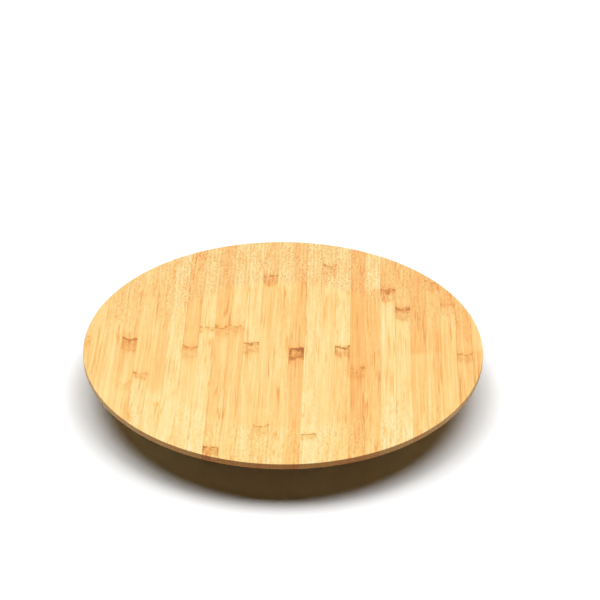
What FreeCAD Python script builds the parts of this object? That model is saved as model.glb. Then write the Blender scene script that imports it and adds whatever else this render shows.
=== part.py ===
"""Lazy susan turntable: a dished bamboo board that turns on a stamped steel ball bearing.

Millimetres. +Z is up, the origin is on the floor under the centre, and the strips of the
board run along Y. From the floor up: rubber feet, base disc, ball bearing, top board.
"""

import FreeCAD, Part

import math
import os

# Top board
BOARD_RADIUS = 175.0
RIM_WALL = 5.2
RIM_ARRIS = 0.4
RIM_LOWER_ROUND = 1.0
DISH_FLOOR_RADIUS = 114.5
DISH_DEPTH = 6.0
FLOOR_THICKNESS = 10.0
SEAT_RADIUS = 100.0
UNDERSIDE_CROWN = 2.0

# Base disc
BASE_RADIUS = 100.0
BASE_THICKNESS = 10.0
BASE_LOWER_ROUND = 3.0
BASE_UPPER_ROUND = 2.0
ACCESS_HOLE_RADIUS = 7.5

# Ball bearing: two stamped plates, a ring of balls and their cage
PLATE_SIDE = 102.0
PLATE_CORNER = 6.0
SHEET = 1.0
RACE_LIFT = 0.95
RACE_TO_EDGE = 8.0
RACE_RELIEF = 0.2
RACE_HALF_ANGLE = math.radians(50)
SHOULDER_WIDTH = 1.7
SHOULDER_SLOPE = math.radians(60)
BORE_INSET = 4.0
TUBE_GAP = 0.4
LIP_OVERLAP = 1.6
LIP_GAP = 0.3
BALL_DIAMETER = 4.0
BALL_COUNT = 24
BALL_GAP = 0.05
CAGE_THICKNESS = 1.2
CAGE_HALF_WIDTH = 3.2
CAGE_POCKET_GAP = 0.1

# Screws, all of one pattern: a domed head with a cross recess
HEAD_RADIUS = 3.2
HEAD_HEIGHT = 1.5
HEAD_EDGE = 0.6
SHANK_RADIUS = 1.6
TIP_LENGTH = 2.5
RECESS_LENGTH = 3.4
RECESS_WIDTH = 0.8
RECESS_DEPTH = 0.8
PLATE_SCREW_LENGTH = 8.0
FOOT_SCREW_LENGTH = 10.0
HOLE_TO_EDGE = 8.0
HOLE_GAP = 0.5
PILOT_GAP = 0.05
PILOT_END_GAP = 0.4

# Rubber feet, each with a steel washer under the screw head
FOOT_HEIGHT = 4.0
FOOT_TOP_RADIUS = 10.0
FOOT_FLOOR_RADIUS = 9.0
FOOT_ROUND = 0.8
FOOT_INSET = 18.0
WASHER_RADIUS = 4.3
WASHER_THICKNESS = 0.6
WASHER_POCKET_GAP = 0.2
HEAD_FLOOR_GAP = 0.4

# Heights of the layers, from the floor up
BEARING_HEIGHT = 2 * (RACE_LIFT + SHEET + BALL_GAP) + BALL_DIAMETER
BASE_TOP = FOOT_HEIGHT + BASE_THICKNESS
SEAT = BASE_TOP + BEARING_HEIGHT
DISH_FLOOR = SEAT + FLOOR_THICKNESS
RIM_TOP = DISH_FLOOR + DISH_DEPTH
BALL_LEVEL = BASE_TOP + BEARING_HEIGHT / 2

# Radii and places that follow from the sizes above
PITCH_RADIUS = PLATE_SIDE / 2 - RACE_TO_EDGE
PLATE_HOLE = PLATE_SIDE / 2 - HOLE_TO_EDGE
PLATE_HOLES = [(PLATE_HOLE, PLATE_HOLE), (-PLATE_HOLE, PLATE_HOLE),
               (-PLATE_HOLE, -PLATE_HOLE), (PLATE_HOLE, -PLATE_HOLE)]
FOOT_PLACE = (BASE_RADIUS - FOOT_INSET) * math.sqrt(0.5)
FOOT_PLACES = [(FOOT_PLACE, FOOT_PLACE), (-FOOT_PLACE, FOOT_PLACE),
               (-FOOT_PLACE, -FOOT_PLACE), (FOOT_PLACE, -FOOT_PLACE)]
WASHER_FLOOR = HEAD_FLOOR_GAP + HEAD_HEIGHT
SCREW_HOLE_RADIUS = SHANK_RADIUS + HOLE_GAP
PILOT_RADIUS = SHANK_RADIUS + PILOT_GAP

CENTRE = FreeCAD.Vector(0, 0, 0)
UP = FreeCAD.Vector(0, 0, 1)
DOWN = FreeCAD.Vector(0, 0, -1)


def at(radius, height):
    """A point of a turned profile, in the XZ plane."""
    return FreeCAD.Vector(radius, 0, height)


def arc(radius, height, bend, start, end):
    """Middle and end of an arc of radius bend about (radius, height), between two angles in degrees."""
    points = []
    for angle in ((start + end) / 2, end):
        turn = math.radians(angle)
        points.append(at(radius + bend * math.cos(turn), height + bend * math.sin(turn)))
    return tuple(points)


def turned(stops):
    """Solid turned about Z. A stop is the next point of the outline, or an arc's middle and end."""
    edges = []
    here = stops[0]
    for stop in stops[1:] + stops[:1]:
        if isinstance(stop, tuple):
            middle, end = stop
            edges.append(Part.Arc(here, middle, end).toShape())
        else:
            end = stop
            edges.append(Part.LineSegment(here, end).toShape())
        here = end
    return Part.Face(Part.Wire(edges)).revolve(CENTRE, UP, 360)


def peg(radius, height, x, y, z, direction=UP):
    """Plain cylinder that starts at (x, y, z)."""
    return Part.makeCylinder(radius, height, FreeCAD.Vector(x, y, z), direction)


def sagged(start, end, crown):
    """Point halfway between two points of a profile, moved out and down by crown."""
    along = (end - start).normalize()
    outward = FreeCAD.Vector(along.z, 0, -along.x)
    return (start + end) * 0.5 + outward * crown


def top_board():
    """Dished board: flat floor, straight slope to a square rim, and a bowed underside."""
    rim_low = RIM_TOP - RIM_WALL
    seat_edge = at(SEAT_RADIUS, SEAT)
    wall_foot = at(BOARD_RADIUS - RIM_LOWER_ROUND, rim_low)
    board = turned([
        at(0, SEAT),
        seat_edge,
        (sagged(seat_edge, wall_foot, UNDERSIDE_CROWN), wall_foot),
        arc(BOARD_RADIUS - RIM_LOWER_ROUND, rim_low + RIM_LOWER_ROUND, RIM_LOWER_ROUND, -90, 0),
        at(BOARD_RADIUS, RIM_TOP - RIM_ARRIS),
        arc(BOARD_RADIUS - RIM_ARRIS, RIM_TOP - RIM_ARRIS, RIM_ARRIS, 0, 90),
        at(DISH_FLOOR_RADIUS, DISH_FLOOR),
        at(0, DISH_FLOOR),
    ])
    depth = PLATE_SCREW_LENGTH - SHEET + PILOT_END_GAP
    return board.cut([peg(PILOT_RADIUS, depth, x, y, SEAT) for x, y in PLATE_HOLES])


def base_disc():
    """Disc with rounded edges, pilot holes, and one hole that a screwdriver goes up through."""
    disc = turned([
        at(0, FOOT_HEIGHT),
        at(BASE_RADIUS - BASE_LOWER_ROUND, FOOT_HEIGHT),
        arc(BASE_RADIUS - BASE_LOWER_ROUND, FOOT_HEIGHT + BASE_LOWER_ROUND, BASE_LOWER_ROUND, -90, 0),
        at(BASE_RADIUS, BASE_TOP - BASE_UPPER_ROUND),
        arc(BASE_RADIUS - BASE_UPPER_ROUND, BASE_TOP - BASE_UPPER_ROUND, BASE_UPPER_ROUND, 0, 90),
        at(0, BASE_TOP),
    ])
    plate_depth = PLATE_SCREW_LENGTH - SHEET + PILOT_END_GAP
    foot_depth = FOOT_SCREW_LENGTH - (FOOT_HEIGHT - WASHER_FLOOR) + PILOT_END_GAP
    holes = [peg(PILOT_RADIUS, plate_depth, x, y, BASE_TOP, DOWN) for x, y in PLATE_HOLES]
    holes += [peg(PILOT_RADIUS, foot_depth, x, y, FOOT_HEIGHT) for x, y in FOOT_PLACES]
    screw_circle = math.hypot(PLATE_HOLE, PLATE_HOLE)
    holes.append(peg(ACCESS_HOLE_RADIUS, BASE_THICKNESS, screw_circle, 0, FOOT_HEIGHT))
    return disc.cut(holes)


def bearing_plate(wood, way, has_lip):
    """Stamped plate that lies on the wood at height wood; way is 1 if its races face up.

    The sheet is flat where it meets the wood, steps up to a shoulder each side of a round
    groove, and keeps one thickness. Heights below are counted from the wood. The plate with
    the lip goes down through the other's bore, and its rolled lip holds the two together.
    """
    def place(radius, height):
        return at(radius, wood + way * height)

    groove = BALL_DIAMETER / 2 + RACE_RELIEF
    groove_level = RACE_LIFT + SHEET + groove
    shoulder = groove_level - groove * math.cos(RACE_HALF_ANGLE)
    back_groove = groove + SHEET
    back_angle = math.acos((groove_level - shoulder + SHEET) / back_groove)
    groove_half = groove * math.sin(RACE_HALF_ANGLE)
    back_half = back_groove * math.sin(back_angle)
    shoulder_end = PITCH_RADIUS + groove_half + SHOULDER_WIDTH
    flange_start = shoulder_end + (shoulder - SHEET) / math.tan(SHOULDER_SLOPE)
    mitre = SHEET * math.tan(SHOULDER_SLOPE / 2)
    beyond_corners = PLATE_SIDE
    bore = PITCH_RADIUS - BORE_INSET

    if has_lip:
        tube = bore - TUBE_GAP
        lip_near = BEARING_HEIGHT - (shoulder - SHEET) + LIP_GAP
        inner = [
            place(tube, shoulder),
            place(tube, lip_near),
            place(bore + LIP_OVERLAP, lip_near),
            place(bore + LIP_OVERLAP, lip_near + SHEET),
            place(tube - SHEET, lip_near + SHEET),
            place(tube - SHEET, shoulder - SHEET),
        ]
    else:
        inner = [place(bore, shoulder), place(bore, shoulder - SHEET)]

    sheet = turned([
        place(beyond_corners, 0),
        place(beyond_corners, SHEET),
        place(flange_start, SHEET),
        place(shoulder_end, shoulder),
        place(PITCH_RADIUS + groove_half, shoulder),
        (place(PITCH_RADIUS, groove_level - groove), place(PITCH_RADIUS - groove_half, shoulder)),
        *inner,
        place(PITCH_RADIUS - back_half, shoulder - SHEET),
        (place(PITCH_RADIUS, groove_level - back_groove), place(PITCH_RADIUS + back_half, shoulder - SHEET)),
        place(shoulder_end - mitre, shoulder - SHEET),
        place(flange_start - mitre, 0),
    ])
    corner = FreeCAD.Vector(-PLATE_SIDE / 2, -PLATE_SIDE / 2, wood - BEARING_HEIGHT)
    blank = Part.makeBox(PLATE_SIDE, PLATE_SIDE, 2 * BEARING_HEIGHT, corner)
    upright = [edge for edge in blank.Edges if abs(edge.tangentAt(edge.FirstParameter).z) > 0.5]
    plate = sheet.common(blank.makeFillet(PLATE_CORNER, upright))
    holes = [peg(SCREW_HOLE_RADIUS, 2 * BEARING_HEIGHT, x, y, wood - BEARING_HEIGHT) for x, y in PLATE_HOLES]
    return plate.cut(holes)


def ball_places():
    """Centres of the balls, evenly round the race."""
    places = []
    for number in range(BALL_COUNT):
        turn = 2 * math.pi * number / BALL_COUNT
        places.append((PITCH_RADIUS * math.cos(turn), PITCH_RADIUS * math.sin(turn)))
    return places


def bearing_balls():
    """The balls, as separate solids in one group."""
    return Part.makeCompound([
        Part.makeSphere(BALL_DIAMETER / 2, FreeCAD.Vector(x, y, BALL_LEVEL)) for x, y in ball_places()
    ])


def ball_cage():
    """Flat ring that floats between the shoulders of the plates, with a pocket for each ball."""
    low = BALL_LEVEL - CAGE_THICKNESS / 2
    ring = peg(PITCH_RADIUS + CAGE_HALF_WIDTH, CAGE_THICKNESS, 0, 0, low)
    pocket = BALL_DIAMETER / 2 + CAGE_POCKET_GAP
    holes = [peg(pocket, CAGE_THICKNESS, x, y, low) for x, y in ball_places()]
    holes.append(peg(PITCH_RADIUS - CAGE_HALF_WIDTH, CAGE_THICKNESS, 0, 0, low))
    return ring.cut(holes)


def screw(length, x, y, seat, points_up):
    """Wood screw whose head bears on a face at height seat."""
    rise = HEAD_HEIGHT - HEAD_EDGE
    dome = (HEAD_RADIUS ** 2 + rise ** 2) / (2 * rise)
    sweep = math.degrees(math.asin(HEAD_RADIUS / dome))
    body = turned([
        at(0, -HEAD_HEIGHT),
        arc(0, dome - HEAD_HEIGHT, dome, -90, sweep - 90),
        at(HEAD_RADIUS, 0),
        at(SHANK_RADIUS, 0),
        at(SHANK_RADIUS, length - TIP_LENGTH),
        at(0, length),
    ])
    for angle in (0, 90):
        slot = Part.makeBox(RECESS_LENGTH, RECESS_WIDTH, RECESS_DEPTH,
                            FreeCAD.Vector(-RECESS_LENGTH / 2, -RECESS_WIDTH / 2, -HEAD_HEIGHT))
        slot.rotate(CENTRE, UP, angle)
        body = body.cut(slot)
    if not points_up:
        body.rotate(CENTRE, FreeCAD.Vector(1, 0, 0), 180)
    body.translate(FreeCAD.Vector(x, y, seat))
    return body


def foot(x, y):
    """Rubber foot: a low cone with a pocket in its floor face for the washer and screw head."""
    pad = turned([
        at(0, 0),
        at(FOOT_FLOOR_RADIUS - FOOT_ROUND, 0),
        arc(FOOT_FLOOR_RADIUS - FOOT_ROUND, FOOT_ROUND, FOOT_ROUND, -90, 0),
        at(FOOT_TOP_RADIUS, FOOT_HEIGHT),
        at(0, FOOT_HEIGHT),
    ])
    pocket = peg(WASHER_RADIUS + WASHER_POCKET_GAP, WASHER_FLOOR + WASHER_THICKNESS, 0, 0, 0)
    pad = pad.cut([pocket, peg(SCREW_HOLE_RADIUS, FOOT_HEIGHT, 0, 0, 0)])
    pad.translate(FreeCAD.Vector(x, y, 0))
    return pad


def foot_washer(x, y):
    """Steel washer at the top of a foot's pocket."""
    disc = peg(WASHER_RADIUS, WASHER_THICKNESS, x, y, WASHER_FLOOR)
    return disc.cut(peg(SCREW_HOLE_RADIUS, WASHER_THICKNESS, x, y, WASHER_FLOOR))


def write(node, shape):
    """Writes one node to its own STEP file."""
    shape.exportStep(os.path.join("parts", node + ".step"))


os.makedirs("parts", exist_ok=True)
write("top_board", top_board())
write("base_disc", base_disc())
write("bearing_lower_plate", bearing_plate(BASE_TOP, 1, False))
write("bearing_upper_plate", bearing_plate(SEAT, -1, True))
write("ball_cage", ball_cage())
write("bearing_balls", bearing_balls())
for number, (x, y) in enumerate(PLATE_HOLES, start=1):
    write(f"lower_plate_screw_{number}", screw(PLATE_SCREW_LENGTH, x, y, BASE_TOP + SHEET, False))
    write(f"upper_plate_screw_{number}", screw(PLATE_SCREW_LENGTH, x, y, SEAT - SHEET, True))
for number, (x, y) in enumerate(FOOT_PLACES, start=1):
    write(f"foot_{number}", foot(x, y))
    write(f"foot_washer_{number}", foot_washer(x, y))
    write(f"foot_screw_{number}", screw(FOOT_SCREW_LENGTH, x, y, WASHER_FLOOR, True))
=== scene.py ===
"""Lazy susan turntable, from the floor up: rubber feet, bamboo base disc, stamped steel ball
bearing and dished bamboo top board. The object's lengths are millimetres until a mesh is made of
them. The stage at the end is in metres, and angles there are in degrees."""

import math

import bpy
import numpy as np
from mathutils import Matrix, Vector


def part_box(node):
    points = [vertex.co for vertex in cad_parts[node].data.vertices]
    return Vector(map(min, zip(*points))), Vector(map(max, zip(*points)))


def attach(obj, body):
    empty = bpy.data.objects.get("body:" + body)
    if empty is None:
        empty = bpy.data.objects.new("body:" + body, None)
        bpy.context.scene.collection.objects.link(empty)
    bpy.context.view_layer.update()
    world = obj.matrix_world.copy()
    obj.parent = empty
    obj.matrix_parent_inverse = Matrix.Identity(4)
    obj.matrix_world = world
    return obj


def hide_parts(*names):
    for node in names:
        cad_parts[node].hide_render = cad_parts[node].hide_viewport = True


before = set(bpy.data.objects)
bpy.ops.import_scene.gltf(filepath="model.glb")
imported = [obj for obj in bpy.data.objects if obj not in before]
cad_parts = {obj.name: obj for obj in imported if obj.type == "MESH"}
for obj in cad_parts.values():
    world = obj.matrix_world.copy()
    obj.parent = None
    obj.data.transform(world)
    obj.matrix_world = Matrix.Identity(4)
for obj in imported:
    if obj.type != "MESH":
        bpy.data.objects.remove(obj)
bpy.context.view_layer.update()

scene = bpy.context.scene


# ---- Rubber feet -----------------------------------------------------------------------------
# Four low black cones under the base disc, moulded in one mould from EPDM rubber. A pocket in
# the floor face takes a washer and a screw head, which hold the foot to the bamboo.

foot_floor_radius = 9.0
foot_top_radius = 10.0
foot_pocket_radius = 4.5
foot_hole_radius = 2.1
foot_mouth_round = 0.3
foot_edge_round = 0.8
foot_inner_round = 0.15
foot_seat_round = 0.1
foot_sides = 72


def rounded(corners, closed):
    """Outline through corners given as (radius, height, rounding).

    Each rounded corner becomes an arc tangent to both sides: its centre lies on the corner's
    bisector at rounding / sin(half the corner's angle). A point is left on each straight side
    just past the arc, so that smooth shading stays inside the arc.
    """
    widest_step = math.radians(12)
    lead_share, lead_most = 0.3, 0.5
    points = []
    count = len(corners)
    for number, (radius, height, rounding) in enumerate(corners):
        corner = np.array([radius, height])
        if rounding == 0 or (not closed and number in (0, count - 1)):
            points.append(corner[None])
            continue
        before = np.array(corners[number - 1][:2]) - corner
        after = np.array(corners[(number + 1) % count][:2]) - corner
        before = before / np.linalg.norm(before)
        after = after / np.linalg.norm(after)
        half = math.acos(np.clip(before @ after, -1, 1)) / 2
        middle = (before + after) / np.linalg.norm(before + after)
        centre = corner + middle * rounding / math.sin(half)
        reach = rounding / math.tan(half)
        turn = math.pi - 2 * half
        steps = max(3, math.ceil(turn / widest_step) + 1)
        swing = np.linspace(-turn / 2, turn / 2, steps)[:, None]
        side = (after - before) / np.linalg.norm(after - before)
        bend = centre - rounding * (middle * np.cos(swing) - side * np.sin(swing))
        past = reach + min(lead_share * rounding, lead_most)
        points.append(np.vstack([corner + before * past, bend, corner + after * past]))
    return np.vstack(points)


def turned(profile, sides):
    """Surface of revolution: (r, z) at turn t goes to (r cos t, r sin t, z)."""
    turn = np.linspace(0, 2 * np.pi, sides, endpoint=False)
    radius, height = profile[:, :1], profile[:, 1:]
    return np.stack([radius * np.cos(turn), radius * np.sin(turn), height + 0 * turn], axis=2)


def solid(name, grid, closed):
    """Mesh over a grid of points that is round in its second direction.

    Row i and column j give one point. closed joins the last row to the first, like a tyre;
    otherwise each end row is one point, a pole.
    """
    rows, sides = grid.shape[:2]
    if closed:
        points = grid.reshape(-1, 3)
        rings = np.arange(rows * sides).reshape(rows, sides)
        rings = np.vstack([rings, rings[:1]])
    else:
        points = np.vstack([grid[0, :1], grid[1:-1].reshape(-1, 3), grid[-1, :1]])
        rings = np.zeros((rows, sides), int)
        rings[1:-1] = 1 + np.arange((rows - 2) * sides).reshape(rows - 2, sides)
        rings[-1] = len(points) - 1
    ahead = np.roll(rings, -1, axis=1)
    quads = np.stack([rings[:-1], ahead[:-1], ahead[1:], rings[1:]], axis=2)
    if closed:
        faces = quads.reshape(-1, 4).tolist()
    else:
        faces = quads[1:-1].reshape(-1, 4).tolist()
        faces += quads[0][:, [0, 2, 3]].tolist() + quads[-1][:, :3].tolist()
    mesh = bpy.data.meshes.new(name)
    mesh.from_pydata(points / 1000, [], faces)
    mesh.shade_smooth()
    return mesh


def show(mesh, material, body, slot, *nodes):
    """Puts a mesh in the scene as a piece that rides on a body and stands for CAD nodes."""
    mesh.materials.append(material)
    piece = bpy.data.objects.new(mesh.name, mesh)
    scene.collection.objects.link(piece)
    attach(piece, body)
    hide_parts(*nodes)
    return piece


def linear(code):
    """Linear RGBA of an sRGB hex colour."""
    parts = np.array([int(code[i:i + 2], 16) for i in (1, 3, 5)]) / 255
    parts = np.where(parts <= 0.04045, parts / 12.92, ((parts + 0.055) / 1.055) ** 2.4)
    return (*parts.tolist(), 1.0)


def node(owner, kind, inputs=None, stops=None, **settings):
    """Adds one node to a material or a world.

    inputs gives sockets a value or another node's output, and stops fill a colour ramp.
    """
    tree = owner.node_tree
    made = tree.nodes.new(kind)
    for name, value in settings.items():
        setattr(made, name, value)
    for socket, value in (inputs or {}).items():
        if isinstance(value, bpy.types.NodeSocket):
            tree.links.new(value, made.inputs[socket])
        else:
            made.inputs[socket].default_value = value
    if stops:
        ramp = made.color_ramp.elements
        while len(ramp) < len(stops):
            ramp.new(1.0)
        for element, (place, colour) in zip(ramp, stops):
            element.position = place
            element.color = colour
    return made


def surface(name, **values):
    """New material with a Principled shader; values are the shader's own uniform sockets."""
    material = bpy.data.materials.new(name)
    material.use_nodes = True
    shader = material.node_tree.nodes["Principled BSDF"]
    for socket, value in values.items():
        shader.inputs[socket.replace("_", " ")].default_value = value
    return material, shader


def join(owner, source, target):
    """Links one socket of a material or a world to another."""
    owner.node_tree.links.new(source, target)


def moulded_rubber():
    """Black EPDM with a fine moulded grain, greyer where it has picked up dust."""
    rubber, shader = surface("Moulded EPDM rubber", IOR=1.52)
    place = node(rubber, "ShaderNodeTexCoord").outputs["Object"]
    # Dust lies in patches of about 4 mm.
    dust = node(rubber, "ShaderNodeTexNoise", {"Vector": place, "Scale": 260.0, "Detail": 5.0})
    tint = node(rubber, "ShaderNodeValToRGB", {"Fac": dust.outputs["Fac"]},
                stops=[(0.35, linear("#1b1b1c")), (0.75, linear("#343332"))])
    # The moulded grain is 0.1 mm, drawn at 0.35 mm so that it shows.
    grain = node(rubber, "ShaderNodeTexNoise", {"Vector": place, "Scale": 2800.0, "Detail": 2.0})
    rough = node(rubber, "ShaderNodeMapRange",
                 {"Value": dust.outputs["Fac"], "To Min": 0.55, "To Max": 0.8})
    bump = node(rubber, "ShaderNodeBump",
                {"Height": grain.outputs["Fac"], "Strength": 0.6, "Distance": 0.00008})
    join(rubber, tint.outputs["Color"], shader.inputs["Base Color"])
    join(rubber, rough.outputs["Result"], shader.inputs["Roughness"])
    join(rubber, bump.outputs["Normal"], shader.inputs["Normal"])
    return rubber


rubber = moulded_rubber()
for number in range(1, 5):
    low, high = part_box(f"foot_{number}")
    centre = (low + high) / 2 * 1000
    pocket_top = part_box(f"foot_washer_{number}")[1].z * 1000
    foot_height = high.z * 1000
    outline = rounded([
        (foot_pocket_radius, 0.0, foot_mouth_round),
        (foot_floor_radius, 0.0, foot_edge_round),
        (foot_top_radius, foot_height, foot_inner_round),
        (foot_hole_radius, foot_height, foot_inner_round),
        (foot_hole_radius, pocket_top, foot_seat_round),
        (foot_pocket_radius, pocket_top, foot_inner_round),
    ], closed=True)
    grid = turned(outline, foot_sides) + np.array([centre.x, centre.y, 0.0])
    cone = solid(f"rubber_foot_{number}", grid, closed=True)
    show(cone, rubber, "base", "foot_rubber", f"foot_{number}")


# ---- Washers and screws ----------------------------------------------------------------------
# Punched washers in the feet, and cross-recess wood screws for the feet and both bearing
# plates. All are mild steel, bright zinc plated, so they are pale with a soft, uneven shine.


def zinc_plated():
    """Bright zinc on steel: cloudy brightness and fine tool marks in the roughness."""
    zinc, shader = surface("Bright zinc plate", Metallic=1.0)
    place = node(zinc, "ShaderNodeTexCoord").outputs["Object"]
    # The plating is cloudy every 2.5 mm, and its tool marks are about 0.5 mm apart.
    cloud = node(zinc, "ShaderNodeTexNoise", {"Vector": place, "Scale": 400.0, "Detail": 4.0})
    tint = node(zinc, "ShaderNodeValToRGB", {"Fac": cloud.outputs["Fac"]},
                stops=[(0.3, linear("#b4b6b4")), (0.7, linear("#d6d9da"))])
    marks = node(zinc, "ShaderNodeTexNoise", {"Vector": place, "Scale": 2200.0, "Detail": 3.0})
    rough = node(zinc, "ShaderNodeMapRange",
                 {"Value": marks.outputs["Fac"], "To Min": 0.2, "To Max": 0.45})
    bump = node(zinc, "ShaderNodeBump",
                {"Height": marks.outputs["Fac"], "Strength": 0.3, "Distance": 0.00003})
    join(zinc, tint.outputs["Color"], shader.inputs["Base Color"])
    join(zinc, rough.outputs["Result"], shader.inputs["Roughness"])
    join(zinc, bump.outputs["Normal"], shader.inputs["Normal"])
    return zinc


def finish_node(name, material):
    """Gives a CAD node's own mesh a better material."""
    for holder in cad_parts[name].material_slots:
        holder.material = material


zinc = zinc_plated()
for number in range(1, 5):
    for kind in ("foot_washer", "foot_screw", "lower_plate_screw", "upper_plate_screw"):
        finish_node(f"{kind}_{number}", zinc)


# ---- Base disc -------------------------------------------------------------------------------
# A smaller disc of edge-glued bamboo strips with rounded edges, sanded and oiled. One hole lets
# a screwdriver up to the screws of the upper bearing plate.

base_lower_round = 3.0
base_upper_round = 2.0
base_hole_radius = 7.5
base_hole_round = 0.6
base_sides = 256
base_strip_width = 13.4
# Height that the fibres lose for each length to the rear, since strips are never planed quite
# along them, and how much more or less than that a single strip's may lose.
fibre_lean = 0.025
fibre_lean_spread = 0.022


def bamboo(name, strip_width, first_edge, strips, palette):
    """Oiled bamboo, glued up from strips that run along Y.

    strips has one row per strip, from -X to +X: the tone behind and in front of the first
    knuckle, then the place along Y, half the length and the strength of up to two knuckles.
    Tones run from 0, pale, to 1, orange, and the grain takes them half a step past both. A
    knuckle of negative strength is only a pale patch, and one of no strength isn't there.
    palette gives colours by tone. Fibre bundles are lines along Y in the solid wood that sink a
    little to the rear, so a flat cut shows streaks, the slope of the dish cuts them into flecks,
    and the rim shows their ends.
    """
    wood, shader = surface(name, IOR=1.47)
    # A ramp holds 0 to 1, so lengths are kept as shares of the span, and strengths as shares of
    # the range from -strongest to strongest.
    span = 400.0
    strongest = 2.0
    count = len(strips)
    coded = []
    for rear, front, *knuckles in strips:
        row = [rear, front, 0.0]
        for where, half_length, strength in (knuckles[:3], knuckles[3:]):
            row += [0.5 + where / span, half_length / span, 0.5 + strength / (2 * strongest)]
        coded.append(row)

    metres = node(wood, "ShaderNodeTexCoord").outputs["Object"]
    place = node(wood, "ShaderNodeVectorMath", {0: metres, 3: 1000.0}, operation="SCALE").outputs[0]
    split = node(wood, "ShaderNodeSeparateXYZ", {0: place})
    x, y = split.outputs["X"], split.outputs["Y"]

    # Which strip, and how far across it.
    from_edge = node(wood, "ShaderNodeMath", {0: x, 1: first_edge}, operation="SUBTRACT").outputs[0]
    across = node(wood, "ShaderNodeMath", {0: from_edge, 1: strip_width},
                  operation="DIVIDE").outputs[0]
    strip = node(wood, "ShaderNodeMath", {0: across}, operation="FLOOR").outputs[0]
    within = node(wood, "ShaderNodeMath", {0: across}, operation="FRACT").outputs[0]
    middle = node(wood, "ShaderNodeMath", {0: within, 1: 0.5}, operation="SUBTRACT").outputs[0]
    side = node(wood, "ShaderNodeMath", {0: middle}, operation="ABSOLUTE").outputs[0]
    look_up = node(wood, "ShaderNodeMath", {0: strip, 1: 0.5}, operation="ADD").outputs[0]
    look_up = node(wood, "ShaderNodeMath", {0: look_up, 1: float(count)},
                   operation="DIVIDE").outputs[0]
    luck = node(wood, "ShaderNodeTexWhiteNoise", {"W": strip}, noise_dimensions="1D")

    def table(start):
        """Ramp that holds three columns of the strips in its red, green and blue."""
        stops = [(row / count, (*values[start:start + 3], 1.0)) for row, values in enumerate(coded)]
        ramp = node(wood, "ShaderNodeValToRGB", {"Fac": look_up}, stops=stops)
        ramp.color_ramp.interpolation = "CONSTANT"
        return node(wood, "ShaderNodeSeparateColor", {0: ramp.outputs["Color"]}).outputs

    tones = table(0)

    # Each strip comes from another cane, so its grain is moved to a place of its own, up to
    # cane_shift away, and leans in its own way.
    cane_shift = (0.0, 900.0, 60.0)
    shift = node(wood, "ShaderNodeVectorMath", {0: luck.outputs["Color"], 1: cane_shift},
                 operation="MULTIPLY").outputs[0]
    cane = node(wood, "ShaderNodeVectorMath", {0: place, 1: shift}, operation="ADD").outputs[0]
    own_lean = node(wood, "ShaderNodeMapRange",
                    {"Value": luck.outputs["Value"], "To Min": -fibre_lean_spread,
                     "To Max": fibre_lean_spread}).outputs["Result"]
    lean = node(wood, "ShaderNodeMath", {0: own_lean, 1: fibre_lean}, operation="ADD").outputs[0]
    sunk = node(wood, "ShaderNodeMath", {0: y, 1: lean}, operation="MULTIPLY").outputs[0]
    sunk = node(wood, "ShaderNodeCombineXYZ", {2: sunk}).outputs[0]
    cane = node(wood, "ShaderNodeVectorMath", {0: cane, 1: sunk}, operation="ADD").outputs[0]

    def grain(width, length, detail, distortion=0.0):
        """Noise stretched along Y: width and length are one grain's size in millimetres."""
        per_grain = (1 / width, 1 / length, 1 / width)
        squeezed = node(wood, "ShaderNodeVectorMath", {0: cane, 1: per_grain},
                        operation="MULTIPLY").outputs[0]
        made = node(wood, "ShaderNodeTexNoise",
                    {"Vector": squeezed, "Scale": 1.0, "Detail": detail, "Distortion": distortion})
        return made.outputs["Fac"]

    def line_of(source, half_width):
        """1 where a noise crosses its middle value, so that it draws thin wandering lines."""
        level = node(wood, "ShaderNodeMath", {0: source, 1: 0.5}, operation="SUBTRACT").outputs[0]
        level = node(wood, "ShaderNodeMath", {0: level}, operation="ABSOLUTE").outputs[0]
        return node(wood, "ShaderNodeMapRange",
                    {"Value": level, "From Min": half_width, "From Max": half_width / 4},
                    interpolation_type="SMOOTHSTEP").outputs["Result"]

    # Broad bands, streaks, single fibres and cloudy mottling, and then three small grains that
    # bend, curl and break up the strokes of the knuckles.
    band = grain(5.0, 200.0, 1.0)
    streak = grain(2.2, 90.0, 2.0)
    fibre = grain(0.9, 45.0, 2.0)
    mottle = grain(5.0, 9.0, 3.0, 0.6)
    bend = grain(7.0, 9.0, 1.0)
    curl = grain(4.0, 6.0, 1.0, 0.8)
    gaps = grain(3.0, 5.0, 2.0)

    # Fibre bundles: round in section, in layers that the broad bands lift by up to layer_wave
    # layers. Real ones are 0.8 mm apart, and are drawn 3.3 mm apart across the board and 0.5 mm
    # in depth, so that the flecks show.
    bundle_apart = 3.3
    bundle_depth = 0.5
    layer_wave = 9.0
    bundle_edge, bundle_core = 0.42, 0.1
    packed = node(wood, "ShaderNodeVectorMath",
                  {0: cane, 1: (1 / bundle_apart, 1.0, 1 / bundle_depth)},
                  operation="MULTIPLY").outputs[0]
    packed = node(wood, "ShaderNodeSeparateXYZ", {0: packed}).outputs
    layer = node(wood, "ShaderNodeMath", {0: band, 1: layer_wave, 2: packed["Z"]},
                 operation="MULTIPLY_ADD").outputs[0]
    packed = node(wood, "ShaderNodeCombineXYZ", {0: packed["X"], 1: layer}).outputs[0]
    bundles = node(wood, "ShaderNodeTexVoronoi",
                   {"Vector": packed, "Scale": 1.0, "Randomness": 0.55},
                   voronoi_dimensions="2D")
    bundle = node(wood, "ShaderNodeMapRange",
                  {"Value": bundles.outputs["Distance"], "From Min": bundle_edge,
                   "From Max": bundle_core},
                  interpolation_type="SMOOTHSTEP").outputs["Result"]

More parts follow.
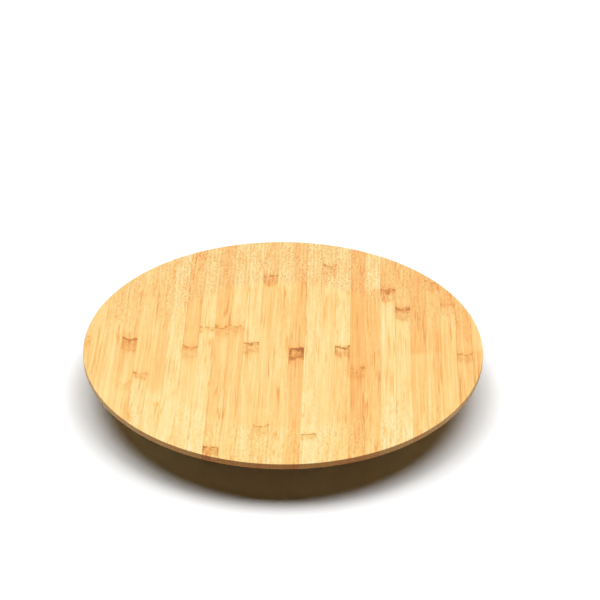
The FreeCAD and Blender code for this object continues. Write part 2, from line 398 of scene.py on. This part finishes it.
    def knuckle(columns):
        """Marks of one knuckle: how dark its strokes are, its stain, and the distance past it.

        The strokes follow a box as wide as the strip, darkest at its rear. A weak knuckle is bent
        into a V and broken up, and a strong one is nearly closed. Its inside is patchily filled.
        The box is measured in half lengths from its middle: the stroke runs at stroke_place and
        fades out over stroke_reach, and the stain reaches out to stain_reach.
        """
        sway_by = 7.0
        v_depth = 0.9
        box_corner = 0.4
        strip_reach = 2.1
        stroke_place = 0.85
        stroke_reach, stroke_core = 0.44, 0.02
        front_share = 0.6
        curl_share = 0.4
        stain_reach, stain_core = 2.6, 0.6
        where, half_length, strength = table(columns)
        where = node(wood, "ShaderNodeMapRange",
                     {"Value": where, "To Min": -span / 2, "To Max": span / 2}).outputs["Result"]
        half_length = node(wood, "ShaderNodeMath", {0: half_length, 1: span},
                           operation="MULTIPLY").outputs[0]
        strength = node(wood, "ShaderNodeMapRange",
                        {"Value": strength, "To Min": -strongest,
                         "To Max": strongest}).outputs["Result"]
        past = node(wood, "ShaderNodeMath", {0: y, 1: where}, operation="SUBTRACT").outputs[0]
        sway = node(wood, "ShaderNodeMapRange",
                    {"Value": bend, "To Min": -sway_by, "To Max": sway_by}).outputs["Result"]
        along = node(wood, "ShaderNodeMath", {0: past, 1: sway}, operation="ADD").outputs[0]
        along = node(wood, "ShaderNodeMath", {0: along, 1: half_length},
                     operation="DIVIDE").outputs[0]
        dip = node(wood, "ShaderNodeMapRange",
                   {"Value": strength, "From Min": 1.1, "From Max": 0.4,
                    "To Max": v_depth}).outputs["Result"]
        centred = node(wood, "ShaderNodeMath", {0: side, 1: -2.0, 2: 1.0},
                       operation="MULTIPLY_ADD").outputs[0]
        along = node(wood, "ShaderNodeMath", {0: dip, 1: centred, 2: along},
                     operation="MULTIPLY_ADD").outputs[0]
        far = node(wood, "ShaderNodeMath", {0: along}, operation="ABSOLUTE").outputs[0]
        square = node(wood, "ShaderNodeMath", {0: strength, 1: 2.0}, operation="POWER").outputs[0]
        wide = node(wood, "ShaderNodeMath", {0: square, 1: 1.0}, operation="MINIMUM").outputs[0]
        wide = node(wood, "ShaderNodeMath", {0: side, 1: wide}, operation="MULTIPLY").outputs[0]
        wide = node(wood, "ShaderNodeMath", {0: wide, 1: strip_reach},
                    operation="MULTIPLY").outputs[0]
        box = node(wood, "ShaderNodeMath", {0: far, 1: wide, 2: box_corner},
                   operation="SMOOTH_MAX").outputs[0]
        ring = node(wood, "ShaderNodeMath", {0: box, 1: stroke_place},
                    operation="SUBTRACT").outputs[0]
        ring = node(wood, "ShaderNodeMath", {0: ring}, operation="ABSOLUTE").outputs[0]
        ring = node(wood, "ShaderNodeMapRange",
                    {"Value": ring, "From Min": stroke_reach, "From Max": stroke_core},
                    interpolation_type="SMOOTHSTEP").outputs["Result"]
        front = node(wood, "ShaderNodeMath", {0: square, 1: front_share},
                     operation="MULTIPLY").outputs[0]
        weight = node(wood, "ShaderNodeMapRange",
                      {"Value": along, "From Min": -0.5, "From Max": 0.5,
                       "To Min": front}).outputs["Result"]
        ring = node(wood, "ShaderNodeMath", {0: ring, 1: weight}, operation="MULTIPLY").outputs[0]
        inside = node(wood, "ShaderNodeMapRange",
                      {"Value": box, "From Min": 1.15, "From Max": 0.75},
                      interpolation_type="SMOOTHSTEP").outputs["Result"]
        patch = node(wood, "ShaderNodeMapRange",
                     {"Value": gaps, "From Min": 0.42, "From Max": 0.6, "To Min": 0.08,
                      "To Max": 0.4}).outputs["Result"]
        patch = node(wood, "ShaderNodeMath", {0: patch, 1: inside}, operation="MULTIPLY").outputs[0]
        curls = node(wood, "ShaderNodeMath", {0: line_of(curl, 0.12), 1: inside},
                     operation="MULTIPLY").outputs[0]
        curls = node(wood, "ShaderNodeMath", {0: curls, 1: curl_share},
                     operation="MULTIPLY").outputs[0]
        strokes = node(wood, "ShaderNodeMath", {0: ring, 1: curls}, operation="MAXIMUM").outputs[0]
        kept = node(wood, "ShaderNodeMath", {0: strength, 1: 0.2, 2: gaps},
                    operation="MULTIPLY_ADD").outputs[0]
        kept = node(wood, "ShaderNodeMapRange",
                    {"Value": kept, "From Min": 0.5, "From Max": 0.66}).outputs["Result"]
        strokes = node(wood, "ShaderNodeMath", {0: strokes, 1: kept},
                       operation="MULTIPLY").outputs[0]
        dark = node(wood, "ShaderNodeMath", {0: strokes, 1: patch}, operation="MAXIMUM").outputs[0]
        dark = node(wood, "ShaderNodeMath", {0: dark, 1: strength},
                    operation="MULTIPLY", use_clamp=True).outputs[0]
        stain = node(wood, "ShaderNodeMapRange",
                     {"Value": far, "From Min": stain_reach, "From Max": stain_core},
                     interpolation_type="SMOOTHSTEP").outputs["Result"]
        stain = node(wood, "ShaderNodeMath", {0: stain, 1: strength},
                     operation="MULTIPLY").outputs[0]
        return dark, stain, past

    first_dark, first_stain, past = knuckle(3)
    second_dark, second_stain, _ = knuckle(6)
    marks = node(wood, "ShaderNodeMath", {0: first_dark, 1: second_dark},
                 operation="MAXIMUM").outputs[0]
    stain = node(wood, "ShaderNodeMath", {0: first_stain, 1: second_stain},
                 operation="ADD").outputs[0]

    # Hair lines of dark fibre, broken into lengths of a few centimetres.
    hair = line_of(grain(3.4, 220.0, 1.0), 0.04)
    part = node(wood, "ShaderNodeMapRange",
                {"Value": grain(8.0, 60.0, 1.0), "From Min": 0.46, "From Max": 0.62})
    hair = node(wood, "ShaderNodeMath", {0: hair, 1: part.outputs["Result"]},
                operation="MULTIPLY").outputs[0]

    # Tone: the strip's own, which changes at its first knuckle, then stains, strokes and hair
    # lines, and each grain by its own swing.
    stain_tone = 0.4
    hair_tone = 0.8
    behind = node(wood, "ShaderNodeMapRange",
                  {"Value": past, "From Min": -3.0, "From Max": 3.0}).outputs["Result"]
    tone = node(wood, "ShaderNodeMix", {0: behind, 2: tones[1], 3: tones[0]}).outputs[0]
    tone = node(wood, "ShaderNodeMath", {0: stain, 1: stain_tone, 2: tone},
                operation="MULTIPLY_ADD").outputs[0]
    tone = node(wood, "ShaderNodeMath", {0: marks, 1: tone}, operation="ADD").outputs[0]
    tone = node(wood, "ShaderNodeMath", {0: hair, 1: hair_tone, 2: tone},
                operation="MULTIPLY_ADD").outputs[0]
    for source, swing in ((band, 0.95), (streak, 1.3), (fibre, 0.8), (mottle, 0.35)):
        level = node(wood, "ShaderNodeMath", {0: source, 1: 0.5}, operation="SUBTRACT").outputs[0]
        tone = node(wood, "ShaderNodeMath", {0: level, 1: swing, 2: tone},
                    operation="MULTIPLY_ADD").outputs[0]

    # Painted light: the front slope of the dish, where across_fibres is above 0, faces the lights
    # behind the board, so its tone is painted paler than the rear one's.
    slope_crossing = 0.07
    painted_slope_light = -0.25
    signed = node(wood, "ShaderNodeAttribute", attribute_name="across_fibres").outputs["Fac"]
    painted_front_light = node(wood, "ShaderNodeMapRange",
                 {"Value": signed, "From Min": 0.0, "From Max": slope_crossing,
                  "To Max": painted_slope_light}).outputs["Result"]
    # Painted highlight on the front slope: its tone is lowered, which makes the wood paler.
    tone = node(wood, "ShaderNodeMath", {0: tone, 1: painted_front_light}, operation="ADD").outputs[0]

    # The palette's tones are spread over the ramp's 0 to 1.
    palest, darkest = palette[0][0], palette[-1][0]
    stops = [((level - palest) / (darkest - palest), linear(code)) for level, code in palette]
    tone = node(wood, "ShaderNodeMapRange",
                {"Value": tone, "From Min": palest, "From Max": darkest}).outputs["Result"]
    colour = node(wood, "ShaderNodeValToRGB", {"Fac": tone}, stops=stops).outputs["Color"]

    # Bundles darken it, little on a flat cut and much where the surface crosses the fibres.
    bundle_shade = linear("#d99b60")
    crossing = node(wood, "ShaderNodeMath", {0: signed, 1: own_lean},
                    operation="SUBTRACT").outputs[0]
    crossing = node(wood, "ShaderNodeMath", {0: crossing}, operation="ABSOLUTE").outputs[0]
    fleck = node(wood, "ShaderNodeMapRange",
                 {"Value": crossing, "From Min": 0.03, "From Max": 0.12, "To Min": 0.08,
                  "To Max": 0.5}).outputs["Result"]
    fleck = node(wood, "ShaderNodeMath", {0: bundle, 1: fleck}, operation="MULTIPLY").outputs[0]
    colour = node(wood, "ShaderNodeMix", {0: fleck, 6: colour, 7: bundle_shade}, data_type="RGBA",
                  blend_type="MULTIPLY").outputs[2]

    # Knuckles are scorched, and the glue lines are hair lines that come and go.
    scorch_shade = linear("#bd9c28")
    glue_shade = linear("#c79663")
    burnt = node(wood, "ShaderNodeMath", {0: marks, 1: 1.5}, operation="POWER").outputs[0]
    colour = node(wood, "ShaderNodeMix", {0: burnt, 6: colour, 7: scorch_shade}, data_type="RGBA",
                  blend_type="MULTIPLY").outputs[2]
    glue = node(wood, "ShaderNodeMapRange",
                {"Value": side, "From Min": 0.47, "From Max": 0.49}).outputs["Result"]
    broken = node(wood, "ShaderNodeMapRange",
                  {"Value": band, "From Min": 0.4, "From Max": 0.65, "To Min": 0.04,
                   "To Max": 0.42}).outputs["Result"]
    line = node(wood, "ShaderNodeMath", {0: glue, 1: broken}, operation="MULTIPLY").outputs[0]
    colour = node(wood, "ShaderNodeMix", {0: line, 6: colour, 7: glue_shade}, data_type="RGBA",
                  blend_type="MULTIPLY").outputs[2]

    # End grain drinks more oil, so it is darker and redder.
    soaked_shade = linear("#e8b96c")
    soaked = node(wood, "ShaderNodeMix", {0: 1.0, 6: colour, 7: soaked_shade}, data_type="RGBA",
                  blend_type="MULTIPLY").outputs[2]
    drunk = node(wood, "ShaderNodeMath", {0: crossing, 1: 1.5}, operation="POWER").outputs[0]
    colour = node(wood, "ShaderNodeMix", {0: drunk, 6: colour, 7: soaked},
                  data_type="RGBA").outputs[2]

    # Dense streaks take a duller rub of oil. Fibres stand up by up to relief_height metres, and
    # bundles, glue lines and strokes are sunk in by shares of that.
    bundle_sink, glue_sink, stroke_sink = -0.5, -3.0, -1.0
    relief_height = 0.00004
    rough = node(wood, "ShaderNodeMapRange",
                 {"Value": streak, "To Min": 0.45, "To Max": 0.65}).outputs["Result"]
    relief = node(wood, "ShaderNodeMath", {0: bundle, 1: bundle_sink, 2: fibre},
                  operation="MULTIPLY_ADD").outputs[0]
    relief = node(wood, "ShaderNodeMath", {0: line, 1: glue_sink, 2: relief},
                  operation="MULTIPLY_ADD").outputs[0]
    relief = node(wood, "ShaderNodeMath", {0: marks, 1: stroke_sink, 2: relief},
                  operation="MULTIPLY_ADD").outputs[0]
    bump = node(wood, "ShaderNodeBump",
                {"Height": relief, "Strength": 0.35, "Distance": relief_height})
    join(wood, colour, shader.inputs["Base Color"])
    join(wood, rough, shader.inputs["Roughness"])
    join(wood, bump.outputs["Normal"], shader.inputs["Normal"])
    return wood


def mark_crossing(mesh):
    """Stores how squarely the surface cuts the fibres: its normal's share along them.

    That is n_y - fibre_lean * n_z: above 0 on the front slope of the dish, below 0 on the rear
    one, near 0 on flat faces, and 1 or -1 where the rim shows end grain.
    """
    normals = np.zeros(len(mesh.vertices) * 3)
    mesh.vertex_normals.foreach_get("vector", normals)
    along = normals[1::3] - fibre_lean * normals[2::3]
    layer = mesh.attributes.new("across_fibres", "FLOAT", "POINT")
    layer.data.foreach_set("value", along.astype(np.float32))


# Colours of the wood by tone, from sun-bleached straw to the orange of old, oiled cane.
bamboo_palette = [
    (-0.5, "#cabb8c"),
    (0.0, "#c8b073"),
    (0.35, "#c7a664"),
    (1.0, "#c6914a"),
    (1.5, "#bd7e34"),
]

low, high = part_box("base_disc")
base_radius, base_low, base_high = high.x * 1000, low.z * 1000, high.z * 1000
plate_screw = sum(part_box("upper_plate_screw_1"), Vector()) / 2 * 1000
hole_place = math.hypot(plate_screw.x, plate_screw.y)
outline = rounded([
    (base_hole_radius, base_low, base_hole_round),
    (base_radius, base_low, base_lower_round),
    (base_radius, base_high, base_upper_round),
    (base_hole_radius, base_high, base_hole_round),
], closed=True)
turn = np.linspace(0, 2 * np.pi, base_sides, endpoint=False)
# The rings of the hole are centred on the hole, and those of the edge on the disc.
off_centre = np.where(outline[:, :1] < base_radius / 2, hole_place, 0.0)
grid = np.stack([
    outline[:, :1] * np.cos(turn) + off_centre,
    outline[:, :1] * np.sin(turn),
    outline[:, 1:] + 0 * turn,
], axis=2)
# Strips of the base, in the columns that bamboo() asks for, with at most one faint knuckle each.
chance = np.random.default_rng(7)
base_count = math.ceil(2 * base_radius / base_strip_width) + 1
base_strips = []
for number in range(base_count):
    tone = chance.uniform(0.15, 0.85)
    base_strips.append((tone, tone + chance.uniform(-0.1, 0.1), chance.uniform(-80, 80),
                        chance.uniform(4, 9), chance.uniform(0.0, 0.7), 0, 6, 0.0))
base_bamboo = bamboo("Oiled bamboo, base", base_strip_width, -base_count * base_strip_width / 2,
                     base_strips, bamboo_palette)
base = solid("base_disc_bamboo", grid, closed=True)
mark_crossing(base)
show(base, base_bamboo, "base", "oiled_bamboo_base", "base_disc")


# ---- Ball bearing ----------------------------------------------------------------------------
# Two square plates stamped from 1 mm galvanised sheet. Between their round races run polished
# steel balls in a moulded acetal cage, and a rolled lip holds the plates together.


def galvanised():
    """Hot-dip zinc on stamped sheet: crystals of uneven grey and rubbed, cloudy roughness."""
    steel, shader = surface("Galvanised steel sheet", Metallic=1.0)
    place = node(steel, "ShaderNodeTexCoord").outputs["Object"]
    # Zinc crystals are about 5 mm across, and rubbed clouds about 1 mm.
    crystal = node(steel, "ShaderNodeTexVoronoi", {"Vector": place, "Scale": 200.0})
    shade = node(steel, "ShaderNodeSeparateColor", {0: crystal.outputs["Color"]}).outputs[0]
    cloud = node(steel, "ShaderNodeTexNoise", {"Vector": place, "Scale": 900.0, "Detail": 4.0})
    blend = node(steel, "ShaderNodeMix", {0: 0.45, 2: shade, 3: cloud.outputs["Fac"]}).outputs[0]
    tint = node(steel, "ShaderNodeValToRGB", {"Fac": blend},
                stops=[(0.15, linear("#9ea2a4")), (0.85, linear("#c9cdce"))])
    rough = node(steel, "ShaderNodeMapRange", {"Value": blend, "To Min": 0.28, "To Max": 0.5})
    bump = node(steel, "ShaderNodeBump",
                {"Height": cloud.outputs["Fac"], "Strength": 0.25, "Distance": 0.00004})
    join(steel, tint.outputs["Color"], shader.inputs["Base Color"])
    join(steel, rough.outputs["Result"], shader.inputs["Roughness"])
    join(steel, bump.outputs["Normal"], shader.inputs["Normal"])
    return steel


def polished_steel():
    """Ground and polished bearing steel with a thin, uneven film of grease."""
    steel, shader = surface("Polished bearing steel", Metallic=1.0)
    place = node(steel, "ShaderNodeTexCoord").outputs["Object"]
    # The grease gathers every 1.5 mm or so.
    film = node(steel, "ShaderNodeTexNoise", {"Vector": place, "Scale": 700.0, "Detail": 2.0})
    tint = node(steel, "ShaderNodeValToRGB", {"Fac": film.outputs["Fac"]},
                stops=[(0.4, linear("#b9bbbd")), (0.7, linear("#dcdddd"))])
    rough = node(steel, "ShaderNodeMapRange",
                 {"Value": film.outputs["Fac"], "To Min": 0.08, "To Max": 0.25})
    join(steel, tint.outputs["Color"], shader.inputs["Base Color"])
    join(steel, rough.outputs["Result"], shader.inputs["Roughness"])
    return steel


def natural_acetal():
    """Unpigmented moulded acetal: waxy white with faint flow clouds."""
    plastic, shader = surface("Natural moulded acetal", IOR=1.48, Subsurface_Weight=0.1)
    place = node(plastic, "ShaderNodeTexCoord").outputs["Object"]
    # The flow clouds are 6 to 7 mm long.
    flow = node(plastic, "ShaderNodeTexNoise", {"Vector": place, "Scale": 150.0, "Detail": 3.0})
    tint = node(plastic, "ShaderNodeValToRGB", {"Fac": flow.outputs["Fac"]},
                stops=[(0.3, linear("#dcd9cf")), (0.7, linear("#ebe9e2"))])
    rough = node(plastic, "ShaderNodeMapRange",
                 {"Value": flow.outputs["Fac"], "To Min": 0.35, "To Max": 0.5})
    join(plastic, tint.outputs["Color"], shader.inputs["Base Color"])
    join(plastic, rough.outputs["Result"], shader.inputs["Roughness"])
    return plastic


sheet = galvanised()
finish_node("bearing_lower_plate", sheet)
finish_node("bearing_upper_plate", sheet)
finish_node("bearing_balls", polished_steel())
finish_node("ball_cage", natural_acetal())


# ---- Top board -------------------------------------------------------------------------------
# A round board glued up from flat-pressed bamboo strips, then turned: a flat dish floor, a long
# straight slope up to a square rim, and a bowed underside. It is sanded and oiled.

board_strip_width = 13.4
board_strips_left = 14
board_joint_right = 5.0
board_first_edge = board_joint_right - board_strips_left * board_strip_width
board_seat_radius = 100.0
board_crown = 2.0
board_rim_wall = 5.2
board_floor_radius = 114.5
board_dish_depth = 6.0
board_low_round = 1.0
board_lip_round = 0.4
board_foot_round = 60.0
board_sides = 512
# The bow of the underside stops this far short of the rim and comes up to it at this slope.
bow_end = 1.6
bow_run, bow_rise = 30.0, 5.0
# Rows of points along the bow, the seat and the dish floor. Those of the seat and the floor stop
# this far short of the bow and the slope, so that both stay flat under smooth shading.
bow_steps, seat_steps, floor_steps = 24, 8, 10
seat_end, floor_end = 4.0, 8.0

low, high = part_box("top_board")
board_radius, seat, rim_top = high.x * 1000, low.z * 1000, high.z * 1000
dish_floor = rim_top - board_dish_depth
rim_low = rim_top - board_rim_wall
# The bowed underside: a straight line from seat to rim, let down by a parabola of the crown.
share = np.linspace(0, 1, bow_steps)[:, None]
bow = np.hstack([
    board_seat_radius + (board_radius - bow_end - board_seat_radius) * share,
    seat + (rim_low - seat) * share - board_crown * 4 * share * (1 - share),
])
inner = np.linspace(0, board_seat_radius - seat_end, seat_steps)[:, None]
floor_rows = np.linspace(board_floor_radius - floor_end, 0, floor_steps)[:, None]
edge = rounded([
    (board_radius - bow_run, rim_low - bow_rise, 0.0),
    (board_radius, rim_low, board_low_round),
    (board_radius, rim_top, board_lip_round),
    (board_floor_radius, dish_floor, board_foot_round),
    (0.0, dish_floor, 0.0),
], closed=False)
# The edge's first two points only give the slope at the rim, and its last is in the floor's rows.
outline = np.vstack([
    np.hstack([inner, seat + 0 * inner]),
    bow,
    edge[2:-1],
    np.hstack([floor_rows, dish_floor + 0 * floor_rows]),
])
# One row per strip, from -X to +X: rear tone, front tone, then the place along Y, half the
# length and the strength of up to two knuckles.
board_strips = [
    (0.40, 0.40, 2, 7, 0.7, 0, 6, 0.0),
    (0.30, 0.39, 0, 6, 0.0, 0, 6, 0.0),
    (0.45, 0.25, 40, 6, 0.0, 0, 6, 0.0),
    (0.43, 0.41, 5, 9, 0.8, -60, 6, 0.3),
    (0.40, 0.18, -45, 5, 0.7, 30, 6, 0.0),
    (0.42, 0.22, -71, 7, -0.6, 60, 6, 0.2),
    (0.05, 0.00, 0, 6, 0.0, -70, 6, 0.2),
    (0.58, 0.30, -2, 8, 0.6, 0, 6, 0.0),
    (0.14, 0.12, 34, 3, 0.8, 0, 6, 0.0),
    (0.64, 0.44, 32, 8, 0.6, -158, 7, 0.9),
    (0.16, 0.45, 38, 7, 0.5, 0, 6, 0.0),
    (0.13, 0.33, 4, 7, 0.8, 0, 6, 0.0),
    (0.42, 0.42, 118, 7, 0.75, -117, 7, 0.6),
    (0.14, 0.35, 100, 8, -0.4, 0, 6, 0.0),
    (0.62, 0.68, -3, 9, 1.1, 0, 6, 0.0),
    (0.10, 0.02, -128, 4, 0.8, 75, 8, -0.3),
    (0.32, 0.18, 135, 7, 0.75, 0, 6, 0.0),
    (0.06, 0.44, 3, 8, 0.9, 0, 6, 0.0),
    (0.83, 0.86, -30, 8, 0.5, 0, 6, 0.0),
    (0.05, 0.68, 102, 9, -0.5, 0, 6, 0.0),
    (0.68, 0.08, 94, 8, 0.75, 0, 6, 0.0),
    (0.65, 0.08, 65, 8, 0.8, 0, 6, 0.0),
    (0.86, 0.48, 0, 6, 0.0, 0, 6, 0.0),
    (0.68, 0.46, 0, 6, 0.0, 106, 7, 0.6),
    (0.80, 0.40, 70, 7, 0.3, 0, 6, 0.0),
    (0.76, 0.57, -9, 6, 0.6, 0, 6, 0.0),
    (0.30, 0.60, 0, 6, 0.0, 0, 6, 0.0),
]
board_bamboo = bamboo("Oiled bamboo, board", board_strip_width, board_first_edge, board_strips,
                      bamboo_palette)
board = solid("top_board_bamboo", turned(outline, board_sides), closed=False)
mark_crossing(board)
show(board, board_bamboo, "turntable", "oiled_bamboo_board", "top_board")


# ---- Floor, light and camera -----------------------------------------------------------------
# A pale floor under two soft lights side by side, overhead and a little behind the board, so
# that its shadow falls forward. The camera looks down from in front, and is aimed a little
# above and to the right of the board.

floor_size = 40.0
light_strength = 3.0
light_width = 38.8
light_behind = 15.0
light_aside = 18.4
# The lens is in millimetres. The aim passes the board by these shares of its distance.
camera_azimuth = 1.6
camera_elevation = 33.72
camera_distance = 2.2
camera_lens = 150.48
camera_roll = 0.575
camera_reach = 100.0
aim_right = 0.006583
aim_up = 0.018242

half = floor_size / 2
plane = bpy.data.meshes.new("floor")
corners = [(-half, -half, 0), (half, -half, 0), (half, half, 0), (-half, half, 0)]
plane.from_pydata(corners, [], [(0, 1, 2, 3)])
white, white_shader = surface("White paper floor", Roughness=0.9, Specular_IOR_Level=0.1)
white_shader.inputs["Base Color"].default_value = linear("#d3d3d3")
plane.materials.append(white)
floor = bpy.data.objects.new("floor", plane)
scene.collection.objects.link(floor)

for name, aside in (("right_light", light_aside), ("left_light", -light_aside)):
    lamp = bpy.data.lights.new(name, "SUN")
    lamp.energy = light_strength
    lamp.angle = math.radians(light_width)
    light = bpy.data.objects.new(name, lamp)
    light.rotation_euler = (-math.radians(light_behind), math.radians(aside), 0)
    scene.collection.objects.link(light)

# Only the camera sees the white backdrop, and the two suns are all the light there is.
world = bpy.data.worlds.new("studio")
world.use_nodes = True
scene.world = world
background = world.node_tree.nodes["Background"]
background.inputs["Color"].default_value = (1.0, 1.0, 1.0, 1.0)
seen = node(world, "ShaderNodeLightPath").outputs["Is Camera Ray"]
join(world, seen, background.inputs["Strength"])
scene.view_settings.view_transform = "Standard"

azimuth, elevation = math.radians(camera_azimuth), math.radians(camera_elevation)
back = Vector((math.sin(azimuth) * math.cos(elevation), -math.cos(azimuth) * math.cos(elevation),
               math.sin(elevation)))
right = Vector((math.cos(azimuth), math.sin(azimuth), 0))
up = back.cross(right)
aim = (-back + right * aim_right + up * aim_up).normalized()
level = aim.cross(Vector((0, 0, 1))).normalized()
roll = math.radians(camera_roll)
level, upright = (level * math.cos(roll) + level.cross(aim) * math.sin(roll),
                  level.cross(aim) * math.cos(roll) - level * math.sin(roll))
place = Vector((0, 0, rim_top / 1000)) + back * camera_distance
camera = bpy.data.objects.new("camera", bpy.data.cameras.new("camera"))
camera.data.lens = camera_lens
camera.data.clip_end = camera_reach
turned_to = Matrix((level, upright, -aim)).transposed()
camera.matrix_world = Matrix.Translation(place) @ turned_to.to_4x4()
scene.collection.objects.link(camera)
scene.camera = camera
